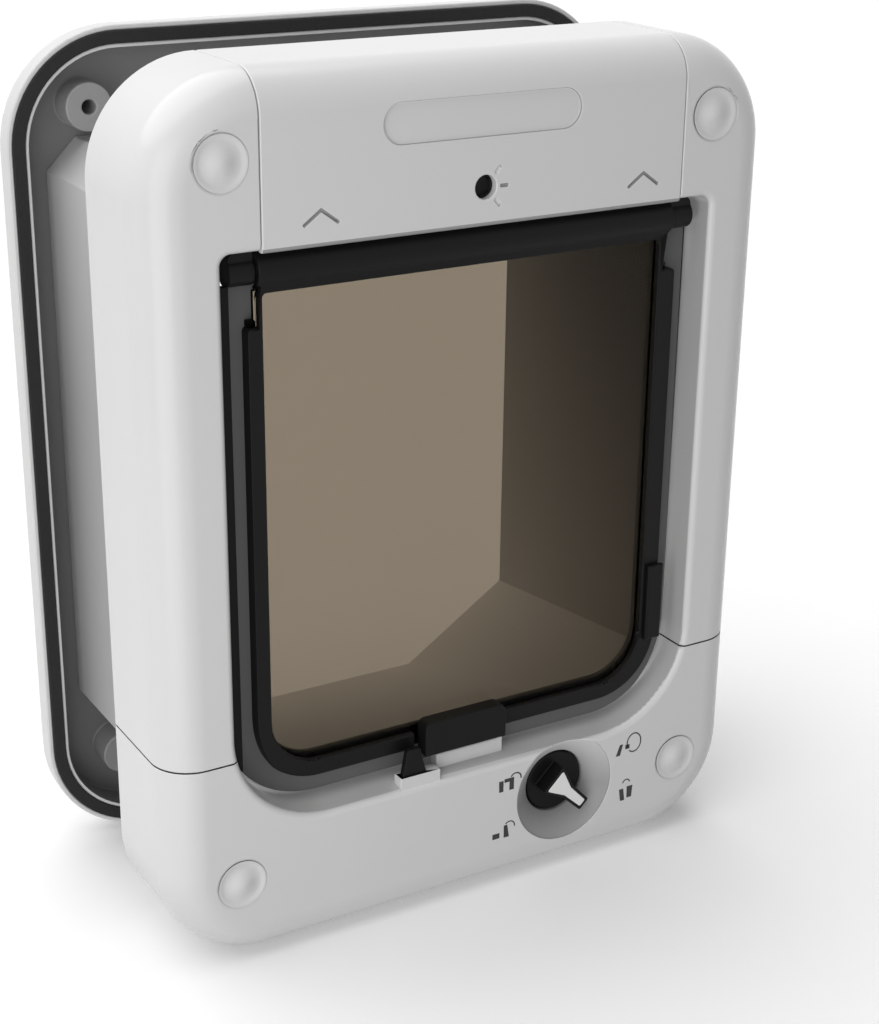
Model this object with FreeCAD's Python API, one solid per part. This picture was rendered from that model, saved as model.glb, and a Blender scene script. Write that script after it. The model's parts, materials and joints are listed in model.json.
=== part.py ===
import FreeCAD, Part
import math
import os
from FreeCAD import Vector

# A locking cat flap: the room side housing, the swinging flap, the tunnel through the door
# and the outside frame. All sizes are in millimetres.
# x runs across the door, y through it from the room to the outside, z up.
# The origin is under the middle of the whole unit, on the surface that both frames stand on.

# Opening for the animal, with the sill under it
opening_half = 75.6
opening_height = 164.3
opening_sill = 41.2
opening_corner = 30.0
opening_top_corner = 3.0
opening_rim = 2.0
recess_depth = 12.0
recess_wall = 2.2
sill_rise = 3.0

# Room side housing round the opening
side_column = 20.4
head_height = 44.5
housing_depth = 37.5
housing_corner = 31.0
housing_round = 11.6
housing_wall = 2.6
seam_above_sill = 23.5
seam_gap = 0.3

# Door and outside frame
door_thickness = 49.2
frame_overlap = 3.4
frame_above_housing = 0.5
frame_depth = 12.7
frame_corner = 33.0
frame_round = 8.0
frame_plate = 2.8
frame_lip = 1.5
frame_collar = 2.4
frame_collar_length = 7.0
seal_width = 3.6
seal_groove = 3.0
seal_stands_out = 0.6
inner_lip = 1.2

# Tunnel through the door
liner_wall = 2.2
liner_exit_floor = 22.3
liner_chamfer_front = 17.0
liner_chamfer_exit_x = 36.9
liner_chamfer_exit_z = 24.2
sleeve_beside_opening = 9.7
sleeve_above_opening = 13.5
sleeve_below_exit = 2.9
sleeve_top_chamfer = 9.0
sleeve_chamfer_x = 20.3
sleeve_chamfer_z = 27.6
sleeve_wall = 2.2
sleeve_front = 32.0
tunnel_gap = 0.3

# Fixing points and their caps
fixing_from_side = 21.0
fixing_from_top = 21.5
fixing_low = 26.3
fixing_hole_radius = 2.1
boss_radius = 6.8
boss_behind_lip = 0.4
tube_radius = 3.7
tube_hole_radius = 2.3
cap_radius = 6.5
cap_gap = 0.35
cap_seat_wall = 1.2
cap_pocket_depth = 3.4
cap_dome = 1.5
cap_proud = 1.0
cap_groove = 0.9
cap_groove_width = 1.6

# Flap
hinge_depth = 7.4
hinge_below_top = 6.0
knuckle_radius = 5.2
flap_front = 3.7
flap_thickness = 5.7
flap_side_gap = 7.4
flap_above_sill = 10.8
flap_corner = 20.5
flap_neck_length = 13.5
flap_neck_step = 4.5
flap_small_corner = 1.5
neck_overlap = 20.0
flap_edge_round = 0.6
window_border = 5.9
window_bottom_border = 5.0
window_below_hinge = 6.3
window_corner = 15.0
pane_thickness = 2.4
pane_lap = 3.4
pane_top_lap = 0.4
seal_flap_thickness = 1.8
seal_flap_gap = 0.4
seal_flap_above_sill = 3.3
seal_flap_below_hinge = 5.0
seal_flap_corner = 27.6
seal_flap_inside_gap = 0.2

# Hinge
pin_radius = 2.0
pin_length = 11.0
pin_clearance = 0.06
bracket_radius = 3.9
bracket_stem_front = 2.6
bracket_stem_back = 4.4
bracket_gap = 0.35
knuckle_beyond_flap = 1.0

# Flap fittings
holder_left = -16.8
holder_right = 12.4
holder_below_flap = 1.4
holder_height = 10.6
holder_front = 2.0
holder_round = 2.5
magnet_length = 18.0
magnet_height = 4.6
magnet_thickness = 2.6
magnet_skin = 1.2
magnet_above_holder_foot = 1.0
keeper_magnet_skin = 0.5
keeper_magnet_below_top = 0.6
clip_above_flap = 16.0
clip_height = 24.5
clip_width = 4.6
clip_proud = 1.5
clip_wrap = 1.0
clip_round = 0.7
clip_edge_front = 0.4

# Sill fittings and latch
keeper_left = -11.0
keeper_right = 13.4
keeper_front = 5.4
keeper_back = 9.1
keeper_clearance = 2.0
keeper_above_sill = 0.4
keeper_round = 0.8
latch_centre = -19.0
latch_base_width = 8.2
latch_tip_width = 3.2
latch_tip_shift = 1.0
latch_tip_above_flap = 1.3
latch_base_above_sill = 4.8
latch_front = 1.4
latch_thickness = 2.0
latch_below_sill = 7.6
latch_arm = 3.0
latch_travel = 5.0
latch_gap = 0.3
latch_tip_round = 0.7
latch_foot_height = 1.0
guide_wall = 1.4
guide_above_bottom = 4.5
guide_back_wall = 1.2
bracket_left = -25.4
bracket_right = -11.8
latch_bracket_above_sill = 5.8
latch_bracket_front = 0.3
latch_bracket_back = 5.0
latch_bracket_foot = 0.6
latch_bracket_round = 0.5
plunger_radius = 2.0
plunger_depth = 9.6
plunger_in_coil = 3.3
plunger_in_tongue = 5.0
plunger_head_wider = 1.0
plunger_head_height = 1.0
coil_bore_gap = 0.15
solenoid_width = 17.0
solenoid_depth = 14.0
solenoid_bottom = 11.7
solenoid_round = 1.5
spring_length = 9.0
spring_radius = 4.0
spring_wire = 0.8
spring_turns = 5
spring_tube_half = 0.1

# Four way dial
dial_x = 33.0
dial_below_sill = 14.5
dish_radius = 17.0
dish_depth = 6.0
well_radius = 10.2
well_depth = 9.3
knob_radius = 9.8
knob_front = 6.0
knob_back = 8.9
knob_round = 0.8
knob_root_inset = 0.3
knob_web = 0.5
shaft_beyond_cam = 0.8
handle_front = 0.6
handle_back = 4.3
handle_tip = 11.4
handle_tail = 4.9
handle_tip_half = 2.2
handle_tail_half = 4.9
handle_neck = 2.6
handle_neck_half = 2.5
handle_border = 0.9
handle_round = 0.5
pointer_turn = -45.0
inlay_depth = 1.0
shaft_radius = 4.0
shaft_clearance = 0.06
cam_low = 4.6
cam_lift = 7.0
cam_behind_well = 3.9
cam_thickness = 3.0
cam_turn = 270.0
cam_dwell = 15.0
cam_gap = 0.35
cam_hub_inset = 0.2
cam_hub_beyond = 1.2
leaf_thickness = 0.5
leaf_to_cam = 0.9
leaf_reach = 19.0
leaf_height = 5.0
leaf_below_dial = 3.0
leaf_foot = 2.0

# Bolt behind the flap
bolt_width = 8.0
bolt_below_floor = 0.3
bolt_gap = 0.3
bolt_foot_radius = 1.5
bolt_top_round = 1.2

# Cells and their tray
cell_radius = 7.1
cell_length = 50.2
cell_button_radius = 2.7
cell_button_length = 1.2
cell_from_middle = 8.0
cell_above_floor = 10.4
cell_spacing = 15.8
contact_thickness = 0.5
contact_half = 5.0
tray_wall = 1.5
tray_front = 7.4

# Battery bay and sliding cover
bay_beside_tray = 6.3
bay_above_opening = 2.5
bay_back = 24.3
bay_wall = 2.2
cover_inside_bay = 3.75
cover_gap = 0.3
cover_low_gap = 0.2
foot_above_floor = 2.6
foot_height = 9.0
foot_width = 3.0
foot_reach = 1.8
foot_thickness = 1.8
pill_half = 30.0
pill_from_top = 10.6
pill_height = 10.8
pill_depth = 0.7
arrow_from_edge = 14.75
arrow_above_opening = 11.7
arrow_half = 5.8
arrow_drop = 4.0
mark_width = 0.8
mark_length = 1.6
mark_depth = 0.45

# Learn button
button_x = 0.5
button_above_opening = 9.8
button_hole_radius = 3.3
button_radius = 2.9
button_front = 3.0
button_travel = 1.0
button_head = 3.2
stem_radius = 1.6
stem_gap = 0.3
switch_size = 6.0

# Inner parts
coil_front = 27.2
coil_width = 3.6
coil_thickness = 2.4
coil_gap = 0.2
board_width = 40.0
board_height = 24.0
board_low = 6.0
board_x = -66.0
board_front = 22.0
board_thickness = 1.6
board_hole_radius = 1.3
board_pin_gap = 0.1
board_pin_beyond = 1.2
board_post_radius = 2.6
board_hole_inset = 4.0
chip_length = 10.0
chip_width = 8.0
chip_height = 1.4
relay_size = 9.0
relay_height = 6.0
capacitor_radius = 2.6
capacitor_height = 7.0
back_cover_front = 33.4
back_cover_thickness = 2.0
back_cover_gap = 0.3

# Places worked out from the sizes above
opening_top = opening_sill + opening_height
housing_width = 2 * (opening_half + side_column)
housing_height = opening_top + head_height
seam_height = opening_sill + seam_above_sill
frame_width = housing_width + 2 * frame_overlap
frame_height = housing_height + frame_above_housing
sleeve_half = opening_half + sleeve_beside_opening
sleeve_top = opening_top + sleeve_above_opening
sleeve_bottom = liner_exit_floor - sleeve_below_exit
fixing_half = housing_width / 2 - fixing_from_side
fixing_high = housing_height - fixing_from_top
hinge_height = opening_top - hinge_below_top
flap_back = flap_front + flap_thickness
flap_half = opening_half - flap_side_gap
flap_bottom = opening_sill + flap_above_sill
flap_neck_height = hinge_height - flap_neck_length
flap_neck_half = flap_half - flap_neck_step
window_half = flap_half - window_border
window_bottom = flap_bottom + window_bottom_border
window_top = hinge_height - window_below_hinge
pane_front = flap_back - pane_thickness
seal_flap_half = opening_half - seal_flap_gap
seal_flap_bottom = opening_sill + seal_flap_above_sill
seal_flap_top = hinge_height - seal_flap_below_hinge
knuckle_half = flap_half + knuckle_beyond_flap
holder_bottom = flap_bottom - holder_below_flap
holder_top = holder_bottom + holder_height
clip_bottom = flap_bottom + clip_above_flap
clip_top = clip_bottom + clip_height
keeper_top = holder_bottom - keeper_clearance
latch_tip_height = flap_bottom + latch_tip_above_flap
latch_base_height = opening_sill + latch_base_above_sill
latch_bottom = opening_sill - latch_below_sill
latch_bracket_top = opening_sill + latch_bracket_above_sill
solenoid_top = latch_bottom - spring_length
plunger_bottom = solenoid_bottom + plunger_in_coil
dial_z = opening_sill - dial_below_sill
cam_front = well_depth + cam_behind_well
bolt_top = opening_sill - bolt_below_floor
cell_end = cell_from_middle + cell_length + cell_button_length
tray_half = cell_end + 2 * contact_thickness + tray_wall
bay_side = tray_half + bay_beside_tray
cover_half = bay_side - cover_inside_bay
bay_floor = opening_top + bay_above_opening
foot_low = bay_floor + foot_above_floor
cell_low = bay_floor + cell_above_floor
cell_high = cell_low + cell_spacing
pill_high = housing_height - pill_from_top
pill_low = pill_high - pill_height
arrow_x = cover_half - arrow_from_edge
arrow_top = opening_top + arrow_above_opening
button_z = opening_top + button_above_opening
seal_plane = housing_depth + door_thickness
frame_front = seal_plane + seal_stands_out
plate_back = frame_front + frame_depth
plate_front = plate_back - frame_plate
exit_depth = plate_back + frame_collar_length
front = -(exit_depth - cap_proud) / 2


def point(x, depth, z):
    """A point whose depth is measured from the front of the housing."""
    return Vector(x, front + depth, z)


def box(x_range, depth_range, z_range):
    """A box between two limits on each axis."""
    size = [high - low for low, high in (x_range, depth_range, z_range)]
    return Part.makeBox(size[0], size[1], size[2], point(x_range[0], depth_range[0], z_range[0]))


def rod(x, z, radius, depth_range):
    """A round bar along the depth."""
    length = depth_range[1] - depth_range[0]
    return Part.makeCylinder(radius, length, point(x, depth_range[0], z), Vector(0, 1, 0))


def cross_rod(depth, z, radius, x_range):
    """A round bar across the door."""
    return Part.makeCylinder(radius, x_range[1] - x_range[0], point(x_range[0], depth, z), Vector(1, 0, 0))


def post(x, depth, radius, z_range):
    """A round bar that stands upright."""
    return Part.makeCylinder(radius, z_range[1] - z_range[0], point(x, depth, z_range[0]), Vector(0, 0, 1))


def joined(shapes):
    """All shapes as one clean solid."""
    result = shapes[0]
    for shape in shapes[1:]:
        result = result.fuse(shape)
    return result.removeSplitter()


def grown(corners, distance):
    """The corners (x, z, radius) of a convex outline, moved outwards by a distance."""
    count = len(corners)
    lines = []
    for index in range(count):
        start = corners[index]
        end = corners[(index + 1) % count]
        length = math.hypot(end[0] - start[0], end[1] - start[1])
        normal = ((end[1] - start[1]) / length, -(end[0] - start[0]) / length)
        offset = normal[0] * start[0] + normal[1] * start[1] + distance
        lines.append((normal[0], normal[1], offset))
    moved = []
    for index in range(count):
        first = lines[index - 1]
        second = lines[index]
        turn = first[0] * second[1] - first[1] * second[0]
        x = (first[2] * second[1] - first[1] * second[2]) / turn
        z = (first[0] * second[2] - first[2] * second[0]) / turn
        radius = corners[index][2]
        moved.append((x, z, max(radius + distance, 0.0) if radius > 0 else 0.0))
    return moved


def outline(corners, depth):
    """A closed wire through corners (x, z, radius), each rounded by an arc."""
    count = len(corners)
    edges = []
    marks = []
    for index in range(count):
        here = corners[index]
        before = corners[index - 1]
        after = corners[(index + 1) % count]
        to_before = Vector(before[0] - here[0], 0, before[1] - here[1]).normalize()
        to_after = Vector(after[0] - here[0], 0, after[1] - here[1]).normalize()
        half_angle = to_before.getAngle(to_after) / 2
        corner = point(here[0], depth, here[1])
        reach = here[2] / math.tan(half_angle)
        middle = (to_before + to_after).normalize() * (here[2] / math.sin(half_angle) - here[2])
        marks.append((corner + to_before * reach, corner + middle, corner + to_after * reach, here[2]))
    for index in range(count):
        start, middle, end, radius = marks[index]
        if radius > 0:
            edges.append(Part.Arc(start, middle, end).toShape())
        following = marks[(index + 1) % count][0]
        if (following - end).Length > 1e-6:
            edges.append(Part.LineSegment(end, following).toShape())
    return Part.Wire(edges)


def prism(corners, depth_range):
    """A solid with the same outline from one depth to another."""
    face = Part.Face(outline(corners, depth_range[0]))
    return face.extrude(Vector(0, depth_range[1] - depth_range[0], 0))


def taper(near_corners, far_corners, depth_range):
    """A solid that runs straight from one outline to another."""
    wires = [outline(near_corners, depth_range[0]), outline(far_corners, depth_range[1])]
    return Part.makeLoft(wires, True, True)


def rectangle(half, low, high, low_radius, high_radius):
    """The four corners of an outline that is centred across the door."""
    return [(-half, low, low_radius), (half, low, low_radius), (half, high, high_radius),
            (-half, high, high_radius)]


def edges_at_depth(shape, depth):
    """The edges of a shape that lie wholly at one depth."""
    y = front + depth
    return [edge for edge in shape.Edges
            if abs(edge.BoundBox.YMin - y) < 1e-4 and abs(edge.BoundBox.YMax - y) < 1e-4]


def revolved(profile, x, z):
    """Turn a profile of (radius, depth) points about an axis along the depth."""
    points = [point(x + radius, depth, z) for radius, depth in profile]
    points.append(points[0])
    face = Part.Face(Part.makePolygon(points))
    return face.revolve(point(x, 0, z), Vector(0, 1, 0), 360)


def fixing_places():
    """The four fixing points with the name of each place."""
    return [("top_left", -fixing_half, fixing_high), ("top_right", fixing_half, fixing_high),
            ("bottom_left", -fixing_half, fixing_low), ("bottom_right", fixing_half, fixing_low)]


def housing_outline():
    return rectangle(housing_width / 2, 0.0, housing_height, housing_corner, housing_corner)


def opening_front():
    return rectangle(opening_half, opening_sill, opening_top, opening_corner, opening_top_corner)


def opening_back():
    return rectangle(opening_half, opening_sill + sill_rise, opening_top,
                     opening_corner - sill_rise, opening_top_corner)


def liner_section(depth):
    """The inside of the tunnel at a depth: its floor falls and its chamfers grow outwards."""
    share = (depth - recess_depth) / (exit_depth - recess_depth)
    floor = opening_sill + (liner_exit_floor - opening_sill) * share
    reach_x = liner_chamfer_front + (liner_chamfer_exit_x - liner_chamfer_front) * share
    reach_z = liner_chamfer_front + (liner_chamfer_exit_z - liner_chamfer_front) * share
    low_half = opening_half - reach_x
    return [(-low_half, floor, 0.0), (low_half, floor, 0.0), (opening_half, floor + reach_z, 0.0),
            (opening_half, opening_top, 0.0), (-opening_half, opening_top, 0.0),
            (-opening_half, floor + reach_z, 0.0)]


def liner_body(distance, depth_range):
    """A solid that follows the tunnel's inside at a distance outside it."""
    near, far = [grown(liner_section(depth), distance) for depth in depth_range]
    return taper(near, far, depth_range)


def sleeve_outline():
    low_half = sleeve_half - sleeve_chamfer_x
    high_half = sleeve_half - sleeve_top_chamfer
    shoulder = sleeve_top - sleeve_top_chamfer
    knee = sleeve_bottom + sleeve_chamfer_z
    return [(-low_half, sleeve_bottom, 0.0), (low_half, sleeve_bottom, 0.0), (sleeve_half, knee, 0.0),
            (sleeve_half, shoulder, 0.0), (high_half, sleeve_top, 0.0), (-high_half, sleeve_top, 0.0),
            (-sleeve_half, shoulder, 0.0), (-sleeve_half, knee, 0.0)]


def housing_skin():
    """The outer skin of the housing, before it is divided into covers."""
    body = prism(housing_outline(), (0, housing_depth))
    body = body.makeFillet(housing_round, edges_at_depth(body, 0))
    inside = prism(grown(housing_outline(), -housing_wall), (housing_wall, housing_depth + housing_wall))
    inside = inside.makeFillet(housing_round - housing_wall, edges_at_depth(inside, housing_wall))
    return body.cut(inside)


def opening_hole():
    """The hole of the opening, with its floor rising towards the flap."""
    slope = taper(opening_front(), opening_back(), (0, recess_depth))
    return slope.fuse(prism(opening_front(), (-housing_wall, 0)))


def opened_skin():
    """The housing skin with the recess walls and the rounded rim of the opening."""
    outer_wall = taper(grown(opening_front(), recess_wall), grown(opening_back(), recess_wall),
                       (housing_wall / 2, recess_depth))
    body = housing_skin().fuse(outer_wall).cut(opening_hole())
    rim = [edge for edge in edges_at_depth(body, 0) if edge.BoundBox.XMax < opening_half + 1
           and edge.BoundBox.XMin > -opening_half - 1 and edge.BoundBox.ZMin > opening_sill - 1
           and edge.BoundBox.ZMax < opening_top + 1]
    return body.makeFillet(opening_rim, rim)


def cap_pocket(x, z):
    """The pocket of a cap with its soft groove, and the hole of the fixing."""
    pocket = rod(x, z, cap_radius + cap_gap, (-1, cap_pocket_depth))
    rim = cap_radius + cap_groove_width
    groove = revolved([(cap_radius, -1), (rim, -1), (rim, 0), (cap_radius, cap_groove)], x, z)
    hole = rod(x, z, tube_hole_radius, (0, housing_depth))
    return joined([pocket, groove, hole])


def fixing_tube(x, z):
    """The seat of a cap and the tube that guides the long fixing screw."""
    seat = rod(x, z, cap_radius + cap_gap + cap_seat_wall, (1.0, cap_pocket_depth + cap_seat_wall))
    tube = rod(x, z, tube_radius, (cap_pocket_depth, back_cover_front + back_cover_thickness))
    return seat.fuse(tube)


def cover_zone(side_gap, low):
    """The part of the housing that the sliding cover takes."""
    half = cover_half + side_gap
    return box((-half, half), (-1, housing_depth + 1), (low, housing_height + 1))


def battery_bay():
    """Floor, back and side walls of the battery bay."""
    inside_top = housing_height - housing_wall
    outer = bay_side + bay_wall
    back = box((-outer, outer), (bay_back, bay_back + bay_wall), (bay_floor, inside_top - housing_wall))
    floor = box((-outer, outer), (housing_wall + cover_gap, bay_back + bay_wall),
                (opening_top + recess_wall - 0.4, bay_floor + bay_wall))
    left = box((-outer, -bay_side), (housing_wall / 2, bay_back + bay_wall), (bay_floor, inside_top + 1))
    right = box((bay_side, outer), (housing_wall / 2, bay_back + bay_wall), (bay_floor, inside_top + 1))
    allowed = prism(grown(housing_outline(), -housing_wall / 2), (0, housing_depth))
    allowed = allowed.makeFillet(housing_round - housing_wall / 2, edges_at_depth(allowed, 0))
    behind_liner = box((-outer, outer), (recess_depth, housing_depth), (0, opening_top + liner_wall))
    return joined([back, floor, left, right]).common(allowed).cut(behind_liner)


def make_main_housing(skin):
    """The upper moulding of the housing: two side columns joined by the battery bay."""
    upper = box((-housing_width, housing_width), (-1, housing_depth + 1),
                (seam_height + seam_gap / 2, housing_height + 1))
    body = skin.common(upper)
    body = body.cut(cover_zone(cover_gap, opening_top - opening_rim - 1).common(
        box((-housing_width, housing_width), (-1, housing_wall + cover_gap), (0, housing_height + 1))))
    body = body.cut(cover_zone(cover_gap, opening_top + recess_wall + 1))
    body = body.fuse(battery_bay().cut(opening_hole()))
    for name, x, z in fixing_places():
        if z > seam_height:
            body = body.fuse(fixing_tube(x, z))
    for name, x, z in fixing_places():
        if z > seam_height:
            body = body.cut(cap_pocket(x, z))
    return body.removeSplitter()


def dish_solid(distance):
    """The dial's dish and well, grown by a distance."""
    profile = [(0, -1), (dish_radius + distance, -1), (dish_radius + distance, 0.35),
               (well_radius + distance, dish_depth + distance),
               (well_radius + distance, well_depth + distance),
               (0, well_depth + distance)]
    return revolved(profile, dial_x, dial_z)


def latch_slot(distance):
    """The guide slot of the latch tongue, from its lowest place up through its bracket."""
    half = latch_base_width / 2 + latch_gap + distance
    return box((latch_centre - half, latch_centre + half),
               (latch_front - latch_gap - distance, latch_front + latch_thickness + latch_gap + distance),
               (latch_bottom - latch_travel - 1, latch_base_height + 8))


def make_lower_cover(skin):
    """The lower moulding, with the sill, the dial's dish and the latch guide."""
    lower = box((-housing_width, housing_width), (-1, housing_depth + 1),
                (-1, seam_height - seam_gap / 2))
    body = skin.common(lower)
    room = box((-housing_width, housing_width), (housing_wall / 2, housing_depth),
               (housing_wall, opening_sill - 0.6))
    body = body.fuse(dish_solid(recess_wall).common(room))
    guide_half = latch_base_width / 2 + latch_gap + guide_wall
    guide = box((latch_centre - guide_half, latch_centre + guide_half),
                (housing_wall / 2, latch_front + latch_thickness + latch_gap + guide_back_wall),
                (latch_bottom + guide_above_bottom, opening_sill))
    body = body.fuse(guide)
    for x, z in board_post_places():
        body = body.fuse(board_post(x, z))
    for name, x, z in fixing_places():
        if z < seam_height:
            body = body.fuse(fixing_tube(x, z))
    for name, x, z in fixing_places():
        if z < seam_height:
            body = body.cut(cap_pocket(x, z))
    body = body.cut(dish_solid(0.0))
    body = body.cut(rod(dial_x, dial_z, shaft_radius + shaft_clearance, (well_depth - 1, cam_front)))
    body = body.cut(latch_slot(0.0))
    return body.removeSplitter()


def make_back_cover():
    """The plate that closes the back of the housing around the tunnel."""
    inset = housing_wall + back_cover_gap
    depth_range = (back_cover_front, back_cover_front + back_cover_thickness)
    body = prism(grown(housing_outline(), -inset), depth_range)
    body = body.cut(prism(grown(sleeve_outline(), back_cover_gap), (back_cover_front - 1, housing_depth)))
    for name, x, z in fixing_places():
        body = body.cut(rod(x, z, tube_radius + back_cover_gap, (back_cover_front - 1, housing_depth)))
    return body


def cap_body(x, z):
    """A domed cap with a plug that seats in its pocket."""
    dome_radius = (cap_radius ** 2 + cap_dome ** 2) / (2 * cap_dome)
    ball = Part.makeSphere(dome_radius, point(x, dome_radius - cap_proud, z))
    disc = rod(x, z, cap_radius, (-cap_dome, cap_pocket_depth))
    bore = rod(x, z, tube_hole_radius, (1.6, cap_pocket_depth + 1))
    return disc.common(ball).cut(bore)


def bar_between(start, end, width, depth_range):
    """A straight bar with round ends between two (x, z) points."""
    length = math.hypot(end[0] - start[0], end[1] - start[1])
    across = (-(end[1] - start[1]) / length * width / 2, (end[0] - start[0]) / length * width / 2)
    corners = [(start[0] - across[0], start[1] - across[1], 0.0),
               (end[0] - across[0], end[1] - across[1], 0.0),
               (end[0] + across[0], end[1] + across[1], 0.0),
               (start[0] + across[0], start[1] + across[1], 0.0)]
    bar = prism(corners, depth_range)
    for x, z in (start, end):
        bar = bar.fuse(rod(x, z, width / 2, depth_range))
    return bar


def cover_marks():
    """The two arrows and the three short arcs beside the button, as shallow cuts."""
    depth_range = (-1, mark_depth)
    marks = []
    for side in (-1, 1):
        top = (side * arrow_x, arrow_top)
        for way in (-1, 1):
            low = (top[0] + way * arrow_half, arrow_top - arrow_drop)
            marks.append(bar_between(top, low, mark_width, depth_range))
    for angle in (-50, 0, 50):
        turn = math.radians(angle)
        start = button_hole_radius + mark_length
        end = start + mark_length
        near = (button_x + start * math.cos(turn), button_z + start * math.sin(turn))
        far = (button_x + end * math.cos(turn), button_z + end * math.sin(turn))
        marks.append(bar_between(near, far, mark_width, depth_range))
    return marks


def make_battery_cover(skin):
    """The sliding cover: front skin, top skin, pill recess, button hole and guide feet."""
    zone = cover_zone(0.0, opening_top + cover_low_gap)
    whole = skin.common(zone)
    lintel = box((-cover_half - 1, cover_half + 1), (housing_wall, housing_depth + 1),
                 (opening_top - 1, housing_height - housing_wall - housing_round))
    body = whole.cut(lintel)
    radius = (pill_high - pill_low) / 2
    pill = [(-pill_half, pill_low, radius - 0.01), (pill_half, pill_low, radius - 0.01),
            (pill_half, pill_high, radius - 0.01), (-pill_half, pill_high, radius - 0.01)]
    body = body.cut(prism(pill, (-1, pill_depth)))
    body = body.cut(rod(button_x, button_z, button_hole_radius, (-1, housing_wall + 1)))
    for mark in cover_marks():
        body = body.cut(mark)
    behind = housing_wall + cover_gap
    for side in (-1, 1):
        reach = cover_half + cover_gap + foot_reach
        leg = box((cover_half - foot_width, cover_half), (housing_wall / 2, behind + foot_thickness),
                  (foot_low, foot_low + foot_height))
        foot = box((cover_half - foot_width, reach), (behind, behind + foot_thickness),
                   (foot_low, foot_low + foot_height))
        guide = leg.fuse(foot)
        if side < 0:
            guide = guide.mirror(Vector(0, 0, 0), Vector(1, 0, 0))
        body = body.fuse(guide)
    return body.removeSplitter()


def cell_places():
    """Centre x, height and direction of the button end of the four cells."""
    middle = cell_length / 2 + cell_button_length / 2 + cell_from_middle
    return [(-middle, cell_high, -1), (-middle, cell_low, 1), (middle, cell_high, 1), (middle, cell_low, -1)]


def cell_depth():
    return bay_back - tray_wall - cell_radius


def make_battery_tray():
    """The tray that holds the cells and guides the button."""
    middle, height, way = cell_places()[2]
    length = cell_length + cell_button_length
    inner = middle - length / 2
    outer = tray_half - tray_wall
    low = cell_low - cell_radius
    high = cell_high + cell_radius
    depth_back = bay_back
    body = box((-tray_half, tray_half), (tray_front, depth_back), (bay_floor + bay_wall, high + tray_wall))
    for side in (-1, 1):
        hollow = box((inner, outer), (tray_front - 1, depth_back - tray_wall), (low, high))
        if side < 0:
            hollow = hollow.mirror(Vector(0, 0, 0), Vector(1, 0, 0))
        body = body.cut(hollow)
    guide = rod(button_x, button_z, stem_radius + stem_gap,
                (tray_front - 1, depth_back - tray_wall - switch_size))
    switch_room = box((button_x - switch_size / 2, button_x + switch_size / 2),
                      (depth_back - tray_wall - switch_size, depth_back - tray_wall),
                      (button_z - switch_size / 2, button_z + switch_size / 2))
    return body.cut(guide).cut(switch_room)


def make_cell(x, z, way):
    """A round cell with its raised button end."""
    depth = cell_depth()
    start = x - cell_length / 2 - way * cell_button_length / 2
    can = cross_rod(depth, z, cell_radius, (start, start + cell_length))
    tip = start + cell_length if way > 0 else start - cell_button_length
    nub = cross_rod(depth, z, cell_button_radius, (tip, tip + cell_button_length))
    return can.fuse(nub)


def make_contact_plates():
    """Four flat contact plates at the outer ends of the cells."""
    plates = []
    for x, z, way in cell_places():
        side = 1 if x > 0 else -1
        edge = abs(x) + cell_length / 2 + cell_button_length / 2
        plate = box((edge, edge + contact_thickness),
                    (cell_depth() - contact_half, cell_depth() + contact_half),
                    (z - contact_half, z + contact_half))
        if side < 0:
            plate = plate.mirror(Vector(0, 0, 0), Vector(1, 0, 0))
        plates.append(plate)
    return Part.makeCompound(plates)


def make_learn_button():
    """The round button behind the hole of the sliding cover, with its stem."""
    head = rod(button_x, button_z, button_radius, (button_front, button_front + button_head))
    stem_end = bay_back - tray_wall - switch_size - 0.1
    stem = rod(button_x, button_z, stem_radius, (button_front, stem_end - button_travel))
    return head.fuse(stem)


def make_button_switch():
    """The small switch that the button's stem presses."""
    half = switch_size / 2
    back = bay_back - tray_wall
    return box((button_x - half, button_x + half), (back - switch_size + button_travel, back),
               (button_z - half, button_z + half))


def make_tunnel_liner():
    """The tunnel that the animal walks through, with the slot of the rising bolt."""
    depth_range = (recess_depth, exit_depth)
    body = liner_body(liner_wall, depth_range).cut(liner_body(0.0, depth_range))
    return body.cut(bolt_slot())


def bolt_range():
    """Depths of the bolt behind the flap."""
    return (cam_front, cam_front + cam_thickness)


def bolt_slot():
    """The slot in the tunnel floor that guides the bolt."""
    half = bolt_width / 2 + bolt_gap
    near, far = bolt_range()
    return box((dial_x - half, dial_x + half), (near - bolt_gap, far + bolt_gap),
               (bolt_top - 6, bolt_top + 4))


def make_out_bolt():
    """The bolt that rises behind the flap, with a rounded foot on the cam."""
    near, far = bolt_range()
    foot_centre = dial_z + cam_low + cam_gap + bolt_foot_radius
    half = bolt_width / 2
    shoulder = foot_centre + 1.5 * bolt_foot_radius
    plate = box((dial_x - half, dial_x + half), (near, far), (shoulder, bolt_top))
    neck = box((dial_x - bolt_foot_radius, dial_x + bolt_foot_radius), (near, far),
               (foot_centre, shoulder + 1))
    foot = rod(dial_x, foot_centre, bolt_foot_radius, (near, far))
    body = joined([plate, neck, foot])
    top_edges = [edge for edge in body.Edges if abs(edge.BoundBox.ZMin - bolt_top) < 1e-4
                 and edge.BoundBox.YLength > 1]
    return body.makeFillet(bolt_top_round, top_edges)


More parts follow.
